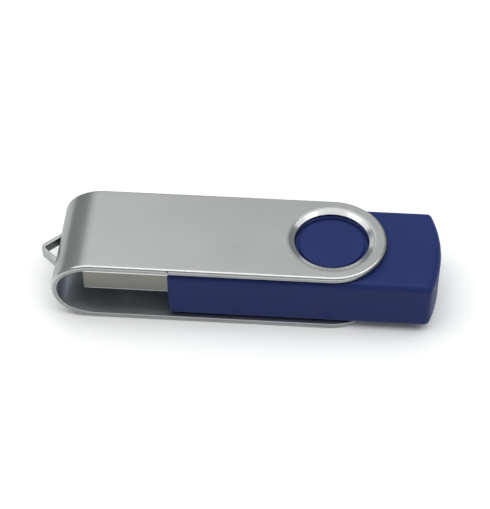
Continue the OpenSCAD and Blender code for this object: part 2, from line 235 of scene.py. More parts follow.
def combine(obj, tool, operation):
    """Adds a tool to the object, or cuts it out, and removes the tool."""
    boolean = obj.modifiers.new("combine", "BOOLEAN")
    boolean.object = tool
    boolean.operation = operation
    boolean.solver = "EXACT"
    apply_modifiers(obj)
    bpy.data.objects.remove(tool)


def smooth(obj, angle):
    """Smooth shading that keeps flat faces flat, and edges sharper than the angle."""
    mesh = obj.data
    for polygon in mesh.polygons:
        polygon.use_smooth = True
    mesh.set_sharp_from_angle(angle=math.radians(angle))
    weighted = obj.modifiers.new("flats", "WEIGHTED_NORMAL")
    weighted.keep_sharp = True
    weighted.weight = 50
    apply_modifiers(obj)


def join(target, others):
    """Joins the others' meshes into the target."""
    with editing(target.data) as bm:
        for other in others:
            bm.from_mesh(other.data)
            bpy.data.objects.remove(other)


# ---- solids bent from a sheet ----

# The material slots of a sheet's faces
OUTER, EDGE, CUT, INNER = ROLES = range(4)


class Sheet:
    """Pairs of points on a sheet's outer and inner face, and the faces that both sides share."""

    def __init__(self):
        self.outer, self.inner, self.faces = [], [], []

    def row(self, pairs):
        """Adds a row of (outer point, inner point), and returns their numbers."""
        first = len(self.outer)
        for outer, inner in pairs:
            self.outer.append(outer)
            self.inner.append(inner)
        return list(range(first, len(self.outer)))

    def solid(self, name, rounding, by_role=False):
        """Closes the sheet along its open edges.

        rounding(a, b) gives an open edge's rounding in millimetres, from its two outer points, as
        (on the outer side, on the inner side). by_role puts each face in the slot of its role.
        """
        n = len(self.outer)
        edges = (tuple(sorted(pair)) for face in self.faces for pair in zip(face, face[1:] + face[:1]))
        rim = [edge for edge, uses in Counter(edges).items() if uses == 1]
        inner_faces = [tuple(v + n for v in reversed(face)) for face in self.faces]
        cut_faces = [(a, b, b + n, a + n) for a, b in rim]
        mesh = new_mesh(name, self.outer + self.inner, self.faces + inner_faces + cut_faces)
        if by_role:
            roles = [OUTER] * len(self.faces) + [INNER] * len(inner_faces) + [CUT] * len(cut_faces)
            for polygon, role in zip(mesh.polygons, roles):
                polygon.material_index = role
        widths = {}
        for a, b in rim:
            widths[(a, b)], widths[(a + n, b + n)] = rounding(Vector(self.outer[a]), Vector(self.outer[b]))
        weights = mesh.attributes.new("bevel_weight_edge", "FLOAT", "EDGE")
        for edge in mesh.edges:
            weights.data[edge.index].value = widths.get(tuple(sorted(edge.vertices)), 0)
        with editing(mesh) as bm:
            bmesh.ops.recalc_face_normals(bm, faces=bm.faces)
        return add_to_scene(name, mesh)


def add_slots(obj, count):
    """Empty material slots, filled when the piece is placed."""
    for _ in range(count):
        obj.data.materials.append(None)


# ---- the clip ----

# Each arm's round end is drawn in rays from the pivot, and CORNER_RAY meets its square corner.
RAYS = 96
CORNER_RAY = RAYS * 3 // 8
DIRECTIONS = [(math.cos(2 * math.pi / RAYS * i), math.sin(2 * math.pi / RAYS * i)) for i in range(RAYS)]


def walk(start, moves):
    """Points inwards from a start: each move runs straight, then turns down at a radius.

    A move is (run, radius, turn in degrees, steps).
    """
    (r, h), slope = start, 0.0
    points = [start]
    for run, radius, turn, steps in moves:
        r, h = r - run * math.cos(slope), h - run * math.sin(slope)
        points.append((r, h))
        half = math.radians(turn) / steps / 2
        chord = 2 * radius * math.sin(abs(half))
        for _ in range(steps):
            slope += half
            r, h = r - chord * math.cos(slope), h - chord * math.sin(slope)
            slope += half
            points.append((r, h))
    return points


def rim_profiles():
    """The pressed rim from the hole outwards: (radius, height) of the outer and inner faces.

    Going inwards, the outer face dips in a wide curve, drops at a small coined step to a flatter
    ring and rolls over a lip into the hole's wall. Heights count from the arm's inner face.
    """
    start = (RIM_R, SHEET_T)
    dip, step, ring = 9, 46, 19
    dip_r, step_top_r, step_foot_r, lip_r = 2.3, 0.07, 0.08, 0.08
    moves = [(0, dip_r, dip, 6), (0.22, step_top_r, step - dip, 4), (0.01, step_foot_r, ring - step, 4)]
    ring_r = walk(start, moves)[-1][0]
    lip_reach = lip_r * (1 - math.sin(math.radians(ring)))
    ring_run = (ring_r - HOLE_R - lip_reach) / math.cos(math.radians(ring))
    outer = walk(start, moves + [(ring_run, lip_r, 90 - ring, 6)])
    wall_top = outer[-1][1]
    outer += [(HOLE_R, wall_top * (1 - t) - DIMPLE_DEPTH * t) for t in (0.5, 1.0)]
    least = 0.001
    outer = [p for i, p in enumerate(outer) if i == 0 or math.dist(p, outer[i - 1]) > least]
    outer.reverse()
    # The inner face rises from the rim's foot to the arm in an S.
    foot, arm = HOLE_R + 0.5, DIMPLE_R + 0.2
    inner = []
    for j in range(len(outer)):
        r = foot + (RIM_R - foot) * j / (len(outer) - 1)
        t = min(1, (r - foot) / (arm - foot))
        inner.append((r, DIMPLE_DEPTH * (t * t * (3 - 2 * t) - 1)))
    return outer, inner


def arm_border(c, s):
    """Where a ray meets the arm's border: a half circle, then a square towards the bend."""
    reach = CLIP_HALF if c >= 0 else CLIP_HALF / max(abs(c), abs(s))
    return reach * c, reach * s


def arm_eye(sheet, side, profiles):
    """The round end of an arm, in rings. side is 1 for the upper arm and -1 for the lower.

    Returns the row of points that faces the bend.
    """
    rings = []
    for (r_out, h_out), (r_in, h_in) in zip(*profiles):
        z_out, z_in = (Z_MID + side * (Z_MID - SHEET_T + h) for h in (h_out, h_in))
        rings.append(sheet.row(
            ((pivot.x + r_out * c, r_out * s, z_out), (pivot.x + r_in * c, r_in * s, z_in))
            for c, s in DIRECTIONS
        ))
    z_out, z_in = Z_MID + side * Z_MID, Z_MID + side * (Z_MID - SHEET_T)
    border = [arm_border(c, s) for c, s in DIRECTIONS]
    rings.append(sheet.row(((pivot.x + x, y, z_out), (pivot.x + x, y, z_in)) for x, y in border))
    for near, far in zip(rings, rings[1:]):
        sheet.faces += [(a, d, c, b) for a, b, c, d in band(near, far, closed=True)]
    return rings[-1][CORNER_RAY:RAYS - CORNER_RAY + 1]


def clip_path():
    """The outer face from the top arm round the bend to the bottom one, in X and Z: (point, normal)."""
    flat = stops([pivot.x - CLIP_HALF, SHOULDER_X], 2.0)[:-1]
    leave, meet = 90 + TURN, 270 - TURN
    path = [((x, CLIP_H), (0, 1)) for x in flat]
    path += arc_and_normals((SHOULDER_X, CLIP_H - SHOULDER_R), SHOULDER_R, 90, leave, 15)
    path += arc_and_normals((NOSE_X, Z_MID), NOSE_R, leave, meet, 60)[1:]
    path += arc_and_normals((SHOULDER_X, SHOULDER_R), SHOULDER_R, meet, 270, 15)[1:]
    path += [((x, 0.0), (0, -1)) for x in reversed(flat)]
    return path


def arms_and_bend(sheet, top_row, bottom_row):
    """The sheet between the arms' round ends, with the window that the loop leaves in the bend."""
    half_columns, half_angle = 4, 20
    widths = [sheet.outer[v][1] for v in top_row]
    middle = len(widths) // 2
    window_columns = range(middle - half_columns, middle + half_columns)
    window_half_h = NOSE_R * math.sin(math.radians(half_angle))
    path = clip_path()
    rows = [top_row]
    for (x, z), (nx, nz) in path[1:-1]:
        rows.append(sheet.row(((x, y, z), (x - nx * SHEET_T, y, z - nz * SHEET_T)) for y in widths))
    rows.append(bottom_row)
    points = [point for point, _ in path]
    for near, far, (x0, z0), (x1, z1) in zip(rows, rows[1:], points, points[1:]):
        at_window = (x0 + x1) / 2 < NOSE_X and abs((z0 + z1) / 2 - Z_MID) < window_half_h
        for column, face in enumerate(band(near, far)):
            if not (at_window and column in window_columns):
                sheet.faces.append(face)


def clip_rounding(a, b):
    """The rounding of the clip's open edges."""
    if abs(a.x - NOSE_X) < 2 * NOSE_R and abs(a.y) < CLIP_HALF / 2 and abs(b.y) < CLIP_HALF / 2:
        return 0.08, 0.05  # round the loop's window
    if math.hypot(a.x - pivot.x, a.y) < RIM_R:
        return 0.06, 0.06  # round the hole
    return 0.42, 0.12


def build_clip():
    """One sheet: two arms with a pressed rim each, the bend, and the loop cut from the bend."""
    sheet = Sheet()
    profiles = rim_profiles()
    top_row = arm_eye(sheet, 1, profiles)
    bottom_row = arm_eye(sheet, -1, profiles)
    arms_and_bend(sheet, top_row, bottom_row)
    clip = sheet.solid("clip_sheet", clip_rounding, by_role=True)
    add_slots(clip, len(ROLES))
    round_edges(clip, segments=5, material=EDGE)
    join(clip, [build_loop()])
    smooth(clip, 50)
    return clip


def build_loop():
    """The lanyard loop: a strip of the sheet, cut loose and pushed out of the bend."""
    thickness, height, tip_r, root_r = 0.65, 1.7, 1.2, 0.45
    edge_r, sunk = 0.13, 0.05
    bend_r = tip_r - thickness / 2
    wall_x = BEND_X + SHEET_T / 2 + sunk
    centre_x = clip_lo.x + tip_r
    root, tail = 3.18, 3.7
    # The sides would meet at the apex. It is moved until the arc between them ends at the CAD's tip.
    apex = clip_lo.x
    for _ in range(20):
        apex = centre_x - bend_r / math.sin(math.atan2(root, wall_x - apex))
    corners = [(wall_x, -tail), (wall_x, -root), (apex, 0), (wall_x, root), (wall_x, tail)]
    line = rounded_path(corners, (root_r, bend_r, root_r), 14)
    levels = [Z_MID - height / 2, Z_MID, Z_MID + height / 2]
    sheet = Sheet()
    rows = []
    for behind, p, ahead in zip(line[:1] + line, line, line[1:] + line[-1:]):
        along = (ahead - behind).normalized()
        away = Vector((-along.y, along.x)) * thickness / 2
        rows.append(sheet.row(((*(p + away), z), (*(p - away), z)) for z in levels))
    for near, far in zip(rows, rows[1:]):
        sheet.faces += band(near, far)
    loop = sheet.solid("loop", lambda a, b: (edge_r, edge_r))
    add_slots(loop, len(ROLES))
    round_edges(loop, segments=4, material=EDGE)
    return loop


# ---- the case ----


def case_outline(inset, front_inset):
    """The case seen from above, drawn in by inset, and by front_inset at the plug end."""
    bulge, front_corner_r, end_corner_r, least = 1.6, 0.6, 1.0, 0.15
    end_r = CASE_HALF**2 / (2 * bulge) + bulge / 2
    front_r = max(front_corner_r - inset, least)
    back_r = max(end_corner_r - inset, least)
    side = CASE_HALF - inset
    bow_r = end_r - inset
    bow_x = case_hi.x - end_r
    back_x = bow_x + math.sqrt((bow_r - back_r) ** 2 - (side - back_r) ** 2)
    bow_end = math.degrees(math.atan2(side - back_r, back_x - bow_x))
    front_x = case_lo.x + front_inset + front_r
    end_y = side - front_r
    straight, corner, bow = 24, 8, 48
    points = arc((bow_x, 0), bow_r, -bow_end, bow_end, bow)
    points += arc((back_x, side - back_r), back_r, bow_end, 90, corner)[1:]
    points += [(back_x + (front_x - back_x) * i / straight, side) for i in range(1, straight)]
    points += arc((front_x, side - front_r), front_r, 90, 180, corner)
    points += [(front_x - front_r, end_y - 2 * end_y * i / straight) for i in range(1, straight)]
    points += arc((front_x, front_r - side), front_r, 180, 270, corner)
    points += [(front_x + (back_x - front_x) * i / straight, -side) for i in range(1, straight)]
    points += arc((back_x, back_r - side), back_r, 270, 360 - bow_end, corner)[:-1]
    return points


# The lines from the pivot along which the case's round rings meet its outline
SPOKES = [Vector((x - pivot.x, y)).normalized() for x, y in case_outline(0, 0)]
# The bevel along the seam of the two halves
SEAM_BEVEL = 0.015


def outline_ring(inset, z, front_inset=None):
    """A ring along the case's outline."""
    front = inset if front_inset is None else front_inset
    return [(x, y, z) for x, y in case_outline(inset, front)]


def edge_ring(inset, z):
    """A ring on the rounding of the long edges, which is smaller at the plug end."""
    return outline_ring(inset, z, inset * FRONT_EDGE_R / CASE_EDGE_R)


def round_ring(radius, z):
    """A ring round the pivot."""
    return [(pivot.x + radius * d.x, radius * d.y, z) for d in SPOKES]


def fillet(centre_r, centre_z, radius, start, end, steps=5):
    """Round rings that follow an arc."""
    return [round_ring(r, z) for r, z in arc((centre_r, centre_z), radius, start, end, steps)]


def boss_rings():
    """From the middle of the boss outwards, over its bearing and the groove for the clip's rim."""
    floor_z = CASE_TOP - GROOVE_DEPTH
    ledge_z = CASE_TOP - LEDGE_DEPTH
    soft, tight = 0.16, 0.06
    disc_rings = (0.6, 2.0, 3.6)
    rings = [round_ring(r, DISC_TOP) for r in disc_rings]
    rings += fillet(DISC_R - soft, DISC_TOP - soft, soft, 90, 0, 6)
    rings += fillet(DISC_R + tight, ledge_z + tight, tight, 180, 270)
    rings += fillet(BEARING_R - tight, ledge_z - tight, tight, 90, 0)
    rings += fillet(BEARING_R + tight, floor_z + tight, tight, 180, 270)
    rings += fillet(GROOVE_R - tight, floor_z + tight, tight, 270, 360)
    rings += fillet(GROOVE_R + soft, CASE_TOP - soft, soft, 180, 90, 6)
    return rings


def side_rings():
    """Over the rounded edge and down the side to the seam."""
    edge_steps = 12
    rings = []
    for i in range(edge_steps + 1):
        a = math.radians(90 - 90 * i / edge_steps)
        rings.append(edge_ring(CASE_EDGE_R * (1 - math.cos(a)), CASE_TOP - CASE_EDGE_R * (1 - math.sin(a))))
    return rings + [edge_ring(0, Z_MID + SEAM_BEVEL), edge_ring(SEAM_BEVEL, Z_MID)]


def inner_rings(upper):
    """Along the seam, up or down the step in it, and round the hollow."""
    roof_r, roof_steps, roof_middle_r = 0.3, 4, 4.0
    roof = CASE_TOP - WALL
    if upper:
        step, step_z = WALL - LIP_T - PLAY, Z_MID + LIP_H + PLAY
        corners = [(step, Z_MID), (step, step_z), (WALL, step_z)]
    else:
        step, step_z = WALL - LIP_T, Z_MID - LIP_H
        corners = [
            (step, Z_MID),
            (step + SEAM_BEVEL, step_z),
            (WALL - SEAM_BEVEL, step_z),
            (WALL, step_z + SEAM_BEVEL),
        ]
    for i in range(roof_steps + 1):
        a = math.radians(90 * i / roof_steps)
        corners.append((WALL + roof_r * (1 - math.cos(a)), roof - roof_r * (1 - math.sin(a))))
    return [outline_ring(inset, z) for inset, z in corners] + [round_ring(roof_middle_r, roof)]


def ringed_solid(name, rings):
    """A closed solid from rings of as many points each, closed by a point in each end."""
    n = len(rings[0])
    verts = [p for ring in rings for p in ring]
    rows = [list(range(k * n, (k + 1) * n)) for k in range(len(rings))]
    faces = [face for near, far in zip(rows, rows[1:]) for face in band(near, far, closed=True)]
    for ring, row in ((rings[0], rows[0]), (rings[-1], rows[-1])):
        faces += [(a, b, len(verts)) for a, b in zip(row, row[1:] + row[:1])]
        verts.append((pivot.x, 0, ring[0][2]))
    return new_object(name, verts, faces)


def case_fittings(upper):
    """What stands inside a half: pin posts, the rib behind the plug and the board's supports.

    Returns what is added and what is cut out.
    """
    roof = CASE_TOP - WALL / 2
    post_r, pin_r, pin_l, over = 0.95, 0.45, 1.2, 1
    front_post, back_post = pivot.x - 23.3, pivot.x + 13.7
    added, cut = [], []
    post_low = Z_MID + LIP_H + PLAY if upper else Z_MID
    for x, y in ((front_post, 7.1), (front_post, -7.1), (back_post, 6.2), (back_post, -6.2)):
        added.append(post_object("post", x, y, post_r, post_low, roof))
        if upper:
            added.append(post_object("pin", x, y, pin_r, Z_MID - pin_l, post_low + PLAY))
        else:
            cut.append(post_object("socket", x, y, pin_r + PLAY, Z_MID - over, Z_MID + pin_l + PLAY))
    rib_x, rib_t, rib_half, rib_z = plug_hi.x - 2.6, 0.8, 4, 1.75
    added.append(box_object("rib", (rib_x, -rib_half, Z_MID + rib_z), (rib_x + rib_t, rib_half, roof)))
    # The upper half holds the board down with four stops, and the lower one carries it on two ledges.
    support_in, stop_l, stop_w = 6.3, 1.6, 0.7
    stop_places, ledge_from, ledge_to = (-13.8, 8.7), -14, 11.5
    if upper:
        board_z, width = board_hi.z, stop_w
        spans = [(pivot.x + x, pivot.x + x + stop_l) for x in stop_places]
    else:
        board_z, width = CLIP_H - board_lo.z, CASE_HALF - WALL / 2 - support_in
        spans = [(pivot.x + ledge_from, pivot.x + ledge_to)]
    for (x0, x1), side in product(spans, (-1, 1)):
        near, far = side * support_in, side * (support_in + width)
        added.append(box_object("support", (x0, near, board_z), (x1, far, roof)))
    return added, cut


def build_case(name, upper):
    """Half of the case, built as the upper one and mirrored for the lower one."""
    half = ringed_solid(name, boss_rings() + side_rings() + inner_rings(upper))
    added, cut = case_fittings(upper)
    for piece in added:
        combine(half, piece, "UNION")
    for piece in cut:
        combine(half, piece, "DIFFERENCE")
    mouth_l = 2.4
    mouth_y, mouth_z = PLUG_W / 2 + PLAY, PLUG_H / 2 + PLAY
    mouth = box_object(
        "mouth",
        (case_lo.x - mouth_l, -mouth_y, Z_MID - mouth_z),
        (case_lo.x + mouth_l, mouth_y, Z_MID + mouth_z),
    )
    combine(half, mouth, "DIFFERENCE")
    if not upper:
        half.data.transform(Matrix.Translation((0, 0, CLIP_H * MM)) @ Matrix.Scale(-1, 4, (0, 0, 1)))
        half.data.flip_normals()
    smooth(half, 30)
    return half


# ---- the plug ----


def plug_section():
    """The plug's shell across, as ((y, z), normal), with stops at its windows and its seam."""
    side, half = PLUG_W / 2 - PLUG_CORNER_R, PLUG_H / 2 - PLUG_CORNER_R
    marks = [side, WINDOW_Y[1], WINDOW_Y[0], SEAM_Y]
    marks = stops(marks + [-y for y in reversed(marks)], 1.0)
    levels = stops([-half, half], 1.2)

    def corner(y, z, start):
        return arc_and_normals((y, z), PLUG_CORNER_R, start, start + 90, 6)[1:-1]

    section = [((PLUG_W / 2, z), (1, 0)) for z in levels] + corner(side, half, 0)
    section += [((y, PLUG_H / 2), (0, 1)) for y in marks] + corner(-side, half, 90)
    section += [((-PLUG_W / 2, z), (-1, 0)) for z in reversed(levels)] + corner(-side, -half, 180)
    section += [((y, -PLUG_H / 2), (0, -1)) for y in reversed(marks)] + corner(side, -half, 270)
    return section


def plug_rounding(a, b):
    """The rounding of the shell's open edges, larger at its mouth."""
    near = 0.01
    if a.x < plug_lo.x + near and b.x < plug_lo.x + near:
        return 0.12, 0.12
    return 0.05, 0.03


def plug_tabs(front):
    """The two tabs at the back of the shell's sides, soldered into the board."""
    top, height, overlap = board_hi.z + 0.8, 2.9, 0.1
    tabs = []
    for side in (-1, 1):
        outside, inside = side * PLUG_W / 2, side * (PLUG_W / 2 - PLUG_T)
        tab = box_object("tab", (front - overlap, outside, top - height), (plug_hi.x, inside, top))
        round_edges(tab, segments=2, width=0.05, angle=40)
        tabs.append(tab)
    return tabs


def build_plug():
    """The folded shell, with two latch windows above and below and its seam underneath."""
    window_from, window_l, tab_l = 5.2, 2.0, 2.6
    window_x = (plug_lo.x + window_from, plug_lo.x + window_from + window_l)
    back = plug_hi.x - tab_l
    section = plug_section()
    lengths = stops([plug_lo.x, *window_x, back], 2.5)
    sheet = Sheet()
    rows = []
    for x in lengths:
        rows.append(sheet.row(
            ((x, y, Z_MID + z), (x, y - ny * PLUG_T, Z_MID + z - nz * PLUG_T))
            for (y, z), (ny, nz) in section
        ))
    points = [point for point, _ in section]
    pairs = list(zip(points, points[1:] + points[:1]))
    for near, far, x0, x1 in zip(rows, rows[1:], lengths, lengths[1:]):
        at_window = window_x[0] < (x0 + x1) / 2 < window_x[1]
        for face, ((y0, z0), (y1, z1)) in zip(band(near, far, closed=True), pairs):
            mid_y = abs(y0 + y1) / 2
            flat = abs(z0) == abs(z1) == PLUG_H / 2
            hole = flat and at_window and WINDOW_Y[0] < mid_y < WINDOW_Y[1]
            seam = flat and z0 < 0 and mid_y < SEAM_Y
            if not hole and not seam:
                sheet.faces.append(face)
    shell = sheet.solid("plug_sleeve", plug_rounding)
    round_edges(shell, segments=4)
    join(shell, plug_tabs(back))
    smooth(shell, 40)
    return shell


# ---- pieces that keep the CAD's shape, with their edges rounded ----


def softened(node, width):
    """A copy of a CAD node with its sharp edges rounded."""
    obj = add_to_scene("soft_" + node, frame["nodes"][node].data.copy())
    with editing(obj.data) as bm:
        bmesh.ops.remove_doubles(bm, verts=bm.verts, dist=MICRON)
        flat = math.radians(1)
        bmesh.ops.dissolve_limit(bm, angle_limit=flat, verts=bm.verts, edges=bm.edges, delimit={"NORMAL"})
    obj.data.materials.clear()
    round_edges(obj, segments=2, width=width, angle=30)
    smooth(obj, 40)
    return obj


# ---- materials ----


class Nodes:
    """A material's node tree, with short calls for what the materials here use.

    Noise scales count waves per metre.
    """

    def __init__(self, name, **values):
        self.material = bpy.data.materials.new(name)
        self.material.use_nodes = True
        self.tree = self.material.node_tree
        self.shader = self.tree.nodes["Principled BSDF"]
        self.coords = self.tree.nodes.new("ShaderNodeTexCoord").outputs["Object"]
        self.feed(self.shader, values)

    def feed(self, node, values):
        """Gives a node's inputs their values, or links them to another node's output."""
        for name, value in values.items():
            self.connect(value, node.inputs[name.replace("_", " ")])

    def connect(self, value, socket):
        if hasattr(value, "links"):
            self.tree.links.new(value, socket)
        else:
            socket.default_value = value

    def add(self, kind, **values):
        node = self.tree.nodes.new(kind)
        self.feed(node, values)
        return node

    def noise(self, scale, detail=4.0, roughness=0.6, vector=None):
        vector = vector or self.coords
        node = self.add("ShaderNodeTexNoise", Vector=vector, Scale=scale, Detail=detail, Roughness=roughness)
        return node.outputs["Fac"]

    def streaks(self, x, y, z, detail=3.0):
        """Noise drawn out into lines, from its scale along each axis."""
        stretched = self.add("ShaderNodeMapping", Vector=self.coords, Scale=(x, y, z))
        return self.noise(1.0, detail, vector=stretched.outputs["Vector"])

    def axis(self, name):
        """One of the object's own coordinates, in metres."""
        return self.add("ShaderNodeSeparateXYZ", Vector=self.coords).outputs[name]

    def math(self, operation, a, b=0.0, clamp=False):
        node = self.tree.nodes.new("ShaderNodeMath")
        node.operation = operation
        node.use_clamp = clamp
        self.connect(a, node.inputs[0])
        self.connect(b, node.inputs[1])
        return node.outputs[0]

    def spread(self, value, low, high, from_low=0.3, from_high=0.7):
        """The value's range, which for noise is 0.3 to 0.7, brought to low to high."""
        node = self.add(
            "ShaderNodeMapRange", Value=value, From_Min=from_low, From_Max=from_high, To_Min=low, To_Max=high
        )
        return node.outputs["Result"]

    def layers(self, *layers, clamp=False):
        """The sum of two values, each spread as (value, low, high)."""
        first, second = (self.spread(*layer) for layer in layers)
        return self.math("ADD", first, second, clamp)

    def blend(self, factor, a, b):
        """From colour a to colour b, as the factor goes from 0 to 1."""
        node = self.tree.nodes.new("ShaderNodeMix")
        node.data_type = "RGBA"
        self.connect(factor, node.inputs["Factor"])
        colours = {socket.name: socket for socket in node.inputs if socket.type == "RGBA"}
        for name, value in (("A", a), ("B", b)):
            self.connect((*value, 1.0) if isinstance(value, tuple) else value, colours[name])
        return next(socket for socket in node.outputs if socket.type == "RGBA")

    def mottle(self, noise, dark, light):
        """A colour that drifts between two shades."""
        return self.blend(self.spread(noise, 0.0, 1.0), dark, light)

    def bump(self, height, strength, microns, **normal):
        """A normal bent by a height. Normal=... lays it over another bump."""
        distance = microns * MICRON
        node = self.add("ShaderNodeBump", Height=height, Strength=strength, Distance=distance, **normal)
        return node.outputs["Normal"]

    def finish(self, colour, roughness, **normal):
        self.feed(self.shader, {"Base Color": colour, "Roughness": roughness, **normal})
        return self.material


def satin_steel():
    """The clip's outer face: satin stainless sheet, polished on the rim, with a painted highlight lightening the
    rim and a painted reflection lightening the hole's wall.
    """
    m = Nodes("satin_steel", Metallic=1.0, Specular_Tint=(0.74, 0.78, 0.80, 1.0))
    streaks = m.streaks(260, 5200, 5200, 4.0)
    grain = m.noise(5200, 3.0)
    cloud = m.noise(110, 4.0, 0.55)
    dx, dy = m.math("SUBTRACT", m.axis("X"), pivot.x * MM), m.axis("Y")
    distance = m.math("SQRT", m.math("ADD", m.math("MULTIPLY", dx, dx), m.math("MULTIPLY", dy, dy)))
    # The polished rim has a lower roughness, and its lighter tone is a painted highlight.
    polish_and_sheen = m.spread(distance, 1.0, 0.0, (DIMPLE_R - 0.4) * MM, RIM_R * MM)
    # A painted reflection: the hole's wall is lightened and tinted brown, standing in for the light it reflects.
    wall = m.spread(distance, 1.0, 0.0, (HOLE_R + 0.01) * MM, (HOLE_R + 0.06) * MM)
    tone = m.mottle(cloud, (0.362, 0.372, 0.363), (0.40, 0.405, 0.394))
    tone = m.blend(m.spread(grain, 0.0, 0.45), tone, (0.47, 0.475, 0.465))
    tone = m.blend(polish_and_sheen, tone, (0.44, 0.445, 0.44))
    tone = m.blend(wall, tone, (0.82, 0.80, 0.77))
    satin = m.layers((cloud, 0.28, 0.30), (streaks, -0.008, 0.008))
    rough = m.math("ADD", satin, m.math("MULTIPLY", polish_and_sheen, -0.14), clamp=True)
    return m.finish(tone, rough, Normal=m.bump(grain, 0.16, 10))


def burnished_steel_painted_sheen():
    """The sheet's rolled edges: burnished smoother than the face, with a lighter tone that is a painted highlight,
    and one dark nick.
    """
    m = Nodes("burnished_steel_painted_sheen", Metallic=1.0)
    wear = m.noise(260, 3.0, 0.5)
    to_nick = m.add("ShaderNodeVectorMath", Vector=m.coords)
    to_nick.operation = "DISTANCE"
    to_nick.inputs[1].default_value = Vector((pivot.x - 25.4, -CLIP_HALF, CLIP_H - 0.3)) * MM
    nick = m.spread(to_nick.outputs["Value"], 0.85, 0.0, 0.12 * MM, 0.26 * MM)
    # The edges' lighter tone is a painted highlight; their lower roughness is the burnish.
    tone = m.mottle(wear, (0.46, 0.47, 0.465), (0.50, 0.505, 0.50))
    tone = m.blend(nick, tone, (0.05, 0.05, 0.05))
    return m.finish(tone, m.spread(wear, 0.17, 0.22))


def sheared_steel():
    """The sheet's cut faces: darker, with fine lines across them."""
    m = Nodes("sheared_steel", Metallic=1.0)
    lines = m.streaks(2600, 2600, 500)
    cloud = m.noise(300, 3.0)
    tone = m.mottle(cloud, (0.27, 0.28, 0.28), (0.34, 0.35, 0.35))
    rough = m.layers((cloud, 0.36, 0.44), (lines, -0.03, 0.03))
    return m.finish(tone, rough, Normal=m.bump(lines, 0.15, 10))


def mill_steel_painted_light():
    """The clip's inner face, with the dull finish of the mill, painted in a lighter blue-grey that stands in for
    the light inside the clip and the navy case's reflection in it.
    """
    m = Nodes("mill_steel_painted_light", Metallic=0.92)
    cloud = m.noise(140)
    streaks = m.streaks(200, 3600, 3600, 4.0)
    # Painted light: the tone is lighter and bluer than the outer face, standing in for light and the blue case's
    # reflection inside the clip.
    tone = m.mottle(cloud, (0.45, 0.49, 0.54), (0.50, 0.54, 0.585))
    rough = m.layers((cloud, 0.34, 0.38), (streaks, -0.01, 0.01))
    return m.finish(tone, rough, Normal=m.bump(streaks, 0.01, 10))


def soft_plastic():
    """Navy soft-touch plastic with a very fine spark-eroded grain."""
    m = Nodes("soft_plastic", IOR=1.45, Specular_IOR_Level=0.19)
    cloud = m.noise(160)
    grain = m.noise(9000, 2.0)
    pores = m.noise(3200, 3.0, 0.55)
    tone = m.mottle(cloud, (0.0072, 0.017, 0.091), (0.0098, 0.0215, 0.107))
    rough = m.layers((cloud, 0.46, 0.54), (pores, -0.03, 0.03))
    pitted = m.bump(pores, 0.12, 20)
    return m.finish(tone, rough, Normal=m.bump(grain, 0.15, 10, Normal=pitted))


def plug_nickel():
    """The plug's nickel-plated shell, darkened with painted shade, with a painted highlight along where its sides
    meet the rounded corners.
    """
    m = Nodes("plug_nickel", Metallic=1.0)
    cloud = m.noise(210)
    lines = m.streaks(150, 4200, 4200)
    # A painted highlight: a bright band where the sides run into the rounded corners, above and below.
    level = m.math("ABSOLUTE", m.math("SUBTRACT", m.axis("Z"), Z_MID * MM))
    fold = PLUG_H / 2 - PLUG_CORNER_R
    begins = m.spread(level, 0.0, 1.0, (fold - 0.02) * MM, (fold + 0.04) * MM)
    ends = m.spread(level, 1.0, 0.0, (fold + 0.16) * MM, (fold + 0.22) * MM)
    # Painted shade: the nickel's tone is kept dark, standing in for the shade of the clip's arms over the plug.
    tone = m.mottle(cloud, (0.235, 0.228, 0.208), (0.25, 0.243, 0.222))
    tone = m.blend(m.math("MULTIPLY", begins, ends), tone, (0.80, 0.79, 0.76))
    rough = m.layers((cloud, 0.28, 0.31), (lines, -0.01, 0.01))
    return m.finish(tone, rough, Normal=m.bump(lines, 0.01, 10))


def plated(name, dark, light, roughness, scale=210):
    """A plated metal with faint drawing lines and slightly uneven gloss."""
    m = Nodes(name, Metallic=1.0)
    cloud = m.noise(scale)
    lines = m.streaks(150, 4200, 4200)
    rough = m.layers((cloud, roughness - 0.04, roughness + 0.05), (lines, -0.02, 0.03))
    return m.finish(m.mottle(cloud, dark, light), rough, Normal=m.bump(lines, 0.06, 10))


def moulded(name, dark, light, roughness, grain=4000, strength=0.1):
    """A moulded or pressed non-metal with a fine grain."""
    m = Nodes(name, IOR=1.5)
    cloud = m.noise(400)
    fine = m.noise(grain, 3.0)
    rough = m.layers((cloud, roughness - 0.05, roughness + 0.05), (fine, -0.03, 0.03))
    return m.finish(m.mottle(cloud, dark, light), rough, Normal=m.bump(fine, strength, 20))


def studio_floor():
    """Pale matt paper."""
    m = Nodes("studio_floor")
    cloud = m.noise(6, 3.0, 0.5)
    tone = m.mottle(cloud, (0.885, 0.885, 0.88), (0.905, 0.905, 0.90))
    return m.finish(tone, m.spread(cloud, 0.55, 0.65))


# ---- putting the pieces in place ----


def place(obj, body, replaced, materials):
    """Gives a finished piece its materials and its body, and hides the CAD node that it stands for."""
    add_slots(obj, len(materials) - len(obj.data.materials))
    for i, material in enumerate(materials):
        obj.data.materials[i] = material
    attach(obj, body)
    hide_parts(replaced)


clip_materials = [satin_steel(), burnished_steel_painted_sheen(), sheared_steel(), mill_steel_painted_light()]
place(build_clip(), "clip", "swivel_clip", clip_materials)
blue = soft_plastic()
place(build_case("case_upper", True), "drive", "upper_shell", [blue])
place(build_case("case_lower", False), "drive", "lower_shell", [blue])
place(build_plug(), "drive", "plug_shell", [plug_nickel()])

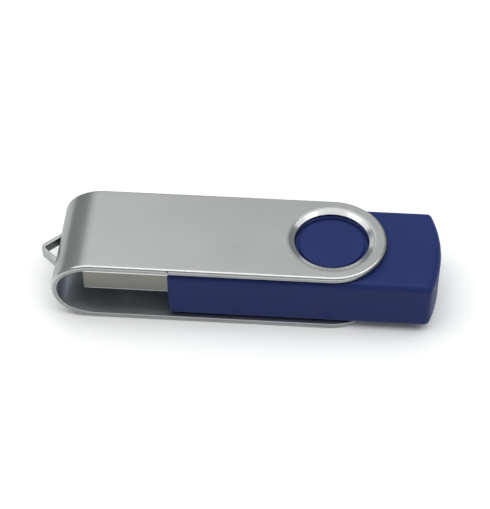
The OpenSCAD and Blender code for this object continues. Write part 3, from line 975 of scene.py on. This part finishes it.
# Each remaining slot's kind of material, its darker and lighter shade, its roughness and its grain
small_finishes = {
    "block_plastic": (moulded, (0.74, 0.74, 0.71), (0.82, 0.82, 0.79), 0.42),
    "contact_gold": (plated, (0.78, 0.56, 0.22), (0.86, 0.64, 0.28), 0.20),
    "pad_gold": (plated, (0.74, 0.54, 0.22), (0.84, 0.63, 0.30), 0.30),
    "board_laminate": (moulded, (0.012, 0.12, 0.045), (0.020, 0.17, 0.070), 0.30, 2500, 0.08),
    "solder": (plated, (0.58, 0.58, 0.60), (0.70, 0.70, 0.72), 0.22, 450),
    "chip_resin": (moulded, (0.014, 0.014, 0.015), (0.024, 0.024, 0.026), 0.60, 5000, 0.25),
    "lead_tin": (plated, (0.62, 0.62, 0.64), (0.72, 0.72, 0.74), 0.30),
    "crystal_nickel": (plated, (0.64, 0.64, 0.65), (0.74, 0.74, 0.75), 0.18),
    "base_glass": (moulded, (0.05, 0.05, 0.045), (0.08, 0.08, 0.07), 0.15),
    "capacitor_ceramic": (moulded, (0.38, 0.25, 0.13), (0.48, 0.33, 0.19), 0.55),
    "resistor_ceramic": (moulded, (0.020, 0.020, 0.024), (0.035, 0.035, 0.040), 0.35),
}
small_materials = {slot: make(slot, *values) for slot, (make, *values) in small_finishes.items()}
slot_of = {entry["node"]: entry["material_slot"] for entry in frame["record"]["subparts"]}
edge_rounding = {
    "plug_block": 0.08,
    "contact_power": 0.05,
    "contact_data_minus": 0.05,
    "contact_data_plus": 0.05,
    "contact_ground": 0.05,
    "circuit_board": 0.05,
    "board_pads": 0.012,
    "contact_solder": 0.06,
    "tab_solder": 0.06,
    "controller_chip": 0.10,
    "controller_leads": 0.025,
    "flash_chip": 0.10,
    "flash_leads": 0.025,
    "crystal_can": 0.12,
    "crystal_base": 0.06,
    "crystal_pins": 0.03,
    "capacitor_bodies": 0.04,
    "capacitor_ends": 0.05,
    "resistor_bodies": 0.04,
    "resistor_ends": 0.05,
}
for node, width in edge_rounding.items():
    place(softened(node, width), "drive", node, [small_materials[slot_of[node]]])


# ---- floor, lights and camera ----


def build_floor():
    """A square of floor under the drive."""
    half = 600
    corners = [(-half, -half, 0), (half, -half, 0), (half, half, 0), (-half, half, 0)]
    floor = new_object("floor", corners, [(0, 1, 2, 3)])
    floor.data.materials.append(studio_floor())


def area_light(name, position, target, size, watts, colour):
    """A panel that gives light but isn't seen. Places and sizes are in millimetres."""
    data = bpy.data.lights.new(name, "AREA")
    data.shape = "RECTANGLE"
    data.size, data.size_y = size[0] * MM, size[1] * MM
    data.energy = watts
    data.color = colour
    light = add_to_scene(name, data)
    light.location = Vector(position) * MM
    light.visible_camera = False
    aim = Vector(target) - Vector(position)
    light.rotation_euler = aim.to_track_quat("-Z", "Y").to_euler()
    return light


def build_lights():
    """Level panels overhead, walls of light behind, and a pale sky.

    The large ceiling lights the matt surfaces only, and three dimmer glows stand for it in the
    steel, so the clip's flat doesn't burn out when it is seen from above.
    """
    warm, cool, sky = (1.0, 1.0, 0.99), (0.99, 1.0, 1.0), (0.94, 0.97, 1.0, 1.0)
    panel_w = 1000
    for name, y, z, depth, watts, matt, glossy in (
        ("ceiling_front", -65, 470, 350, 2.55, True, False),
        ("glow_overhead", -30, 471, 180, 0.62, False, True),
        ("glow_front", -190, 471, 130, 1.0, False, True),
        ("glow_back", 95, 471, 60, 0.56, False, True),
        ("ceiling_back", 200, 470, 180, 0.72, True, True),
    ):
        panel = area_light(name, (0, y, z), (0, y, 0), (panel_w, depth), watts, warm)
        panel.visible_diffuse = matt
        panel.visible_glossy = glossy
    for name, position, size, watts in (
        ("far_left", (-168, 386, 392), (205, 300), 0.157),
        ("far_right", (30, 412, 392), (185, 300), 0.098),
        ("far_low", (10, 405, 72), (320, 70), 0.045),
    ):
        area_light(name, position, (0, 0, Z_MID), size, watts, cool)
    world = bpy.data.worlds.new("studio")
    bpy.context.scene.world = world
    world.use_nodes = True
    background = world.node_tree.nodes["Background"]
    background.inputs["Color"].default_value = sky
    background.inputs["Strength"].default_value = 0.40
    bpy.context.scene.view_settings.view_transform = "Standard"


def build_camera():
    """The view: nearly square on, from 46 degrees up, turned a little about the camera's own axis."""
    azimuth, elevation, roll = (math.radians(a) for a in (4.32, 46.23, -0.3))
    distance, lens, sensor = 261.15, 114.39, 36.0
    target = Vector((pivot.x - 13.87, 0, 7.06))
    back = Vector((
        math.sin(azimuth) * math.cos(elevation),
        -math.cos(azimuth) * math.cos(elevation),
        math.sin(elevation),
    ))
    right = Vector((math.cos(azimuth), math.sin(azimuth), 0))
    up = back.cross(right)
    rolled_right = right * math.cos(roll) + up * math.sin(roll)
    rolled_up = up * math.cos(roll) - right * math.sin(roll)
    data = bpy.data.cameras.new("camera")
    data.lens = lens
    data.sensor_width = sensor
    data.clip_start = 0.01
    camera = add_to_scene("camera", data)
    axes = Matrix((rolled_right, rolled_up, back)).transposed()
    camera.matrix_world = Matrix.Translation((target + back * distance) * MM) @ axes.to_4x4()
    bpy.context.scene.camera = camera


build_floor()
build_lights()
build_camera()
